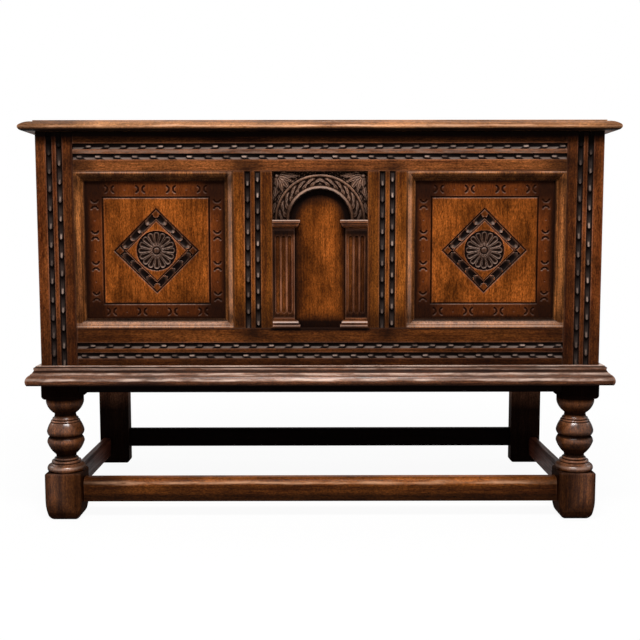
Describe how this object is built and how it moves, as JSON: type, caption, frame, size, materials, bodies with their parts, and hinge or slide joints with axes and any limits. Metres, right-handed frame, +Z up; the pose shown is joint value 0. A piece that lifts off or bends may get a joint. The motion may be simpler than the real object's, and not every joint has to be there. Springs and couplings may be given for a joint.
{
  "type": "coffer chest",
  "caption": "Joined oak coffer with a carved panelled front, an arched centre niche, a hinged overhanging lid, turned front legs and low box stretchers.",
  "frame": {"origin": "on the floor, below the middle of the plan box", "axes": "+X along the length to the right as seen from the front, +Y to the back, +Z up"},
  "size_m": [1.2044, 0.5902, 0.827],
  "materials": {
    "oak_polished": "dark stained oak, rubbed wax polish",
    "oak_panel": "warm stained oak, wax polish, dark recesses",
    "oak_plain": "plain planed oak, thin stain",
    "hinge_brass": "tarnished",
    "screw_steel": "dull"
  },
  "bodies": {
    "chest": {"arch_head": "oak_polished", "back_bottom_rail": "oak_plain", "back_muntin_left": "oak_plain", "back_muntin_right": "oak_plain", "back_panels": "oak_plain", "back_top_rail": "oak_plain", "bottom_boards": "oak_plain", "bottom_cleats": "oak_plain", "end_bottom_rail_left": "oak_polished", "end_bottom_rail_right": "oak_polished", "end_muntin_left": "oak_polished", "end_muntin_right": "oak_polished", "end_panels_left": "oak_polished", "end_panels_right": "oak_polished", "end_top_rail_left": "oak_polished", "end_top_rail_right": "oak_polished", "front_bottom_rail": "oak_polished", "front_leg_left": "oak_polished", "front_leg_right": "oak_polished", "front_muntin_left": "oak_polished", "front_muntin_right": "oak_polished", "front_panel_centre": "oak_panel", "front_panel_left": "oak_panel", "front_panel_right": "oak_panel", "front_stile_left": "oak_polished", "front_stile_right": "oak_polished", "front_top_rail": "oak_polished", "hinge_case_leaf_left": "hinge_brass", "hinge_case_leaf_right": "hinge_brass", "hinge_case_screws": "screw_steel", "hinge_pin_left": "hinge_brass", "hinge_pin_right": "hinge_brass", "impost_left": "oak_polished", "impost_right": "oak_polished", "panel_moulding_left": "oak_polished", "panel_moulding_right": "oak_polished", "pilaster_base_left": "oak_polished", "pilaster_base_right": "oak_polished", "pilaster_left": "oak_polished", "pilaster_right": "oak_polished", "plinth_moulding_front": "oak_polished", "plinth_moulding_left": "oak_polished", "plinth_moulding_right": "oak_polished", "rear_post_left": "oak_polished", "rear_post_right": "oak_polished", "stand_rail_back": "oak_polished", "stand_rail_front": "oak_polished", "stand_rail_left": "oak_polished", "stand_rail_right": "oak_polished", "stretcher_front": "oak_polished", "stretcher_left": "oak_polished", "stretcher_rear": "oak_polished", "stretcher_right": "oak_polished"},
    "lid": {"hinge_lid_leaf_left": "hinge_brass", "hinge_lid_leaf_right": "hinge_brass", "hinge_lid_screws": "screw_steel", "lid_board_front": "oak_polished", "lid_board_middle": "oak_polished", "lid_board_rear": "oak_polished"}
  },
  "joints": [
    {"name": "lid_hinge", "type": "hinge", "parent": "chest", "child": "lid", "pos_m": [0, 0.2735, 0.80515], "axis": [-1, 0, 0], "range_deg": [0, 104]}
  ]
}
